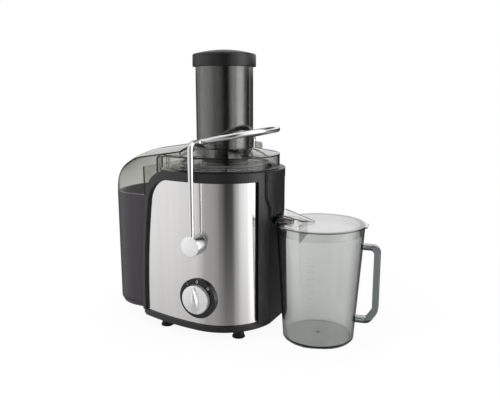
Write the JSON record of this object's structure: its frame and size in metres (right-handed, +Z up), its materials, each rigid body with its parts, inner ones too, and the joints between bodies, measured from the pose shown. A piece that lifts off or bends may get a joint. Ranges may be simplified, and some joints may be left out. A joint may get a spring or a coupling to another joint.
{
  "type": "centrifugal juicer",
  "caption": "Centrifugal juicer with a steel front, wide feed tube and pusher, swinging bail, side pulp container and a lidded juice jug.",
  "frame": {"origin": "on the standing surface under the middle of the whole object, 25 mm from the motor axis towards the jug", "axes": "+Z up along the motor axis, +X towards the spout and the jug, -Y the steel front with its dial"},
  "size_m": [0.3972, 0.196, 0.3931],
  "materials": {
    "black_body": "fine satin grain",
    "black_deck": "satin",
    "charcoal_frame": "semi-gloss",
    "steel_front": "vertically brushed",
    "black_rubber": "matte",
    "bezel_black": "satin with pale print",
    "knob_silver": "satin silver lacquer",
    "chrome": "polished",
    "turned_steel": "turned",
    "zinc_steel": "zinc plated",
    "white_nylon": "natural nylon",
    "switch_grey": "moulded",
    "switch_red": "moulded",
    "lamination": "stacked steel sheet",
    "copper": "enamelled wire",
    "phenolic": "moulded",
    "carbon": "graphite",
    "collector_black": "gloss",
    "smoke": "clear smoke",
    "nozzle_smoke": "clear brown smoke",
    "basket_steel": "polished sheet",
    "mesh_steel": "etched mesh",
    "cap_charcoal": "satin",
    "pusher_grey": "gloss",
    "pulp_black": "fine satin grain",
    "jug_clear": "clear",
    "handle_grey": "clear grey"
  },
  "bodies": {
    "base": {"housing_shell": "black_body", "top_deck": "black_deck", "front_frame": "charcoal_frame", "front_panel": "steel_front", "base_plate": "black_body", "foot_front_left": "black_rubber", "foot_front_right": "black_rubber", "foot_rear_left": "black_rubber", "foot_rear_right": "black_rubber", "base_screws": "zinc_steel", "dial_bezel": "bezel_black", "rotary_switch": "switch_grey", "front_pivot_bush": "white_nylon", "rear_pivot_bush": "white_nylon", "microswitch": "switch_grey", "lower_bearing": "turned_steel", "upper_bearing": "turned_steel", "lower_bracket": "zinc_steel", "upper_bracket": "zinc_steel", "stator_core": "lamination", "field_coils": "copper", "brush_holders": "phenolic", "carbon_brushes": "carbon", "motor_mounts": "black_rubber", "motor_screws": "zinc_steel", "shaft_seal": "black_rubber", "juice_collector": "collector_black", "spout_nozzle": "nozzle_smoke", "feed_lid": "smoke", "cord_gland": "black_rubber"},
    "knob": {"control_knob": "knob_silver", "knob_shaft": "turned_steel"},
    "bail": {"bail_rod": "chrome", "front_pivot_button": "chrome", "rear_pivot_button": "chrome", "front_pivot_pin": "turned_steel", "rear_pivot_pin": "turned_steel", "pivot_clips": "zinc_steel", "interlock_cam": "white_nylon"},
    "plunger": {"switch_plunger": "switch_red"},
    "spindle": {"motor_shaft": "turned_steel", "armature_core": "lamination", "armature_winding": "copper", "commutator": "copper", "cooling_fan": "switch_grey", "drive_coupling": "phenolic", "filter_basket": "basket_steel", "mesh_screen": "mesh_steel", "grater_disc": "basket_steel"},
    "pusher": {"pusher_body": "pusher_grey", "pusher_cap": "cap_charcoal"},
    "pulp": {"pulp_container": "pulp_black"},
    "jug": {"juice_jug": "jug_clear", "jug_handle": "handle_grey", "jug_lid": "jug_clear", "froth_separator": "jug_clear"}
  },
  "joints": [
    {"name": "knob_turn", "type": "hinge", "parent": "base", "child": "knob", "pos_m": [-0.025, -0.08, 0.0595], "axis": [0, -1, 0], "range_deg": [-50, 50]},
    {"name": "bail_swing", "type": "hinge", "parent": "base", "child": "bail", "pos_m": [-0.025, 0, 0.136], "axis": [0, 1, 0], "range_deg": [0, 48]},
    {"name": "plunger_slide", "type": "slide", "parent": "base", "child": "plunger", "axis": [0, 0, 1], "range_m": [0, 0.003]},
    {"name": "spindle_spin", "type": "hinge", "parent": "base", "child": "spindle", "pos_m": [-0.025, 0, 0.1], "axis": [0, 0, 1], "continuous": true},
    {"name": "pusher_slide", "type": "slide", "parent": "base", "child": "pusher", "axis": [0, 0, 1], "range_m": [0, 0.165]},
    {"name": "pulp_container_slide", "type": "slide", "parent": "base", "child": "pulp", "axis": [-1, 0, 0], "range_m": [0, 0.15]},
    {"name": "jug_slide", "type": "slide", "parent": "base", "child": "jug", "axis": [1, 0, 0], "range_m": [0, 0.12]}
  ],
  "couplings": [
    {"joint": "plunger_slide", "follows": "bail_swing", "m_per_rad": 0.003581}
  ]
}
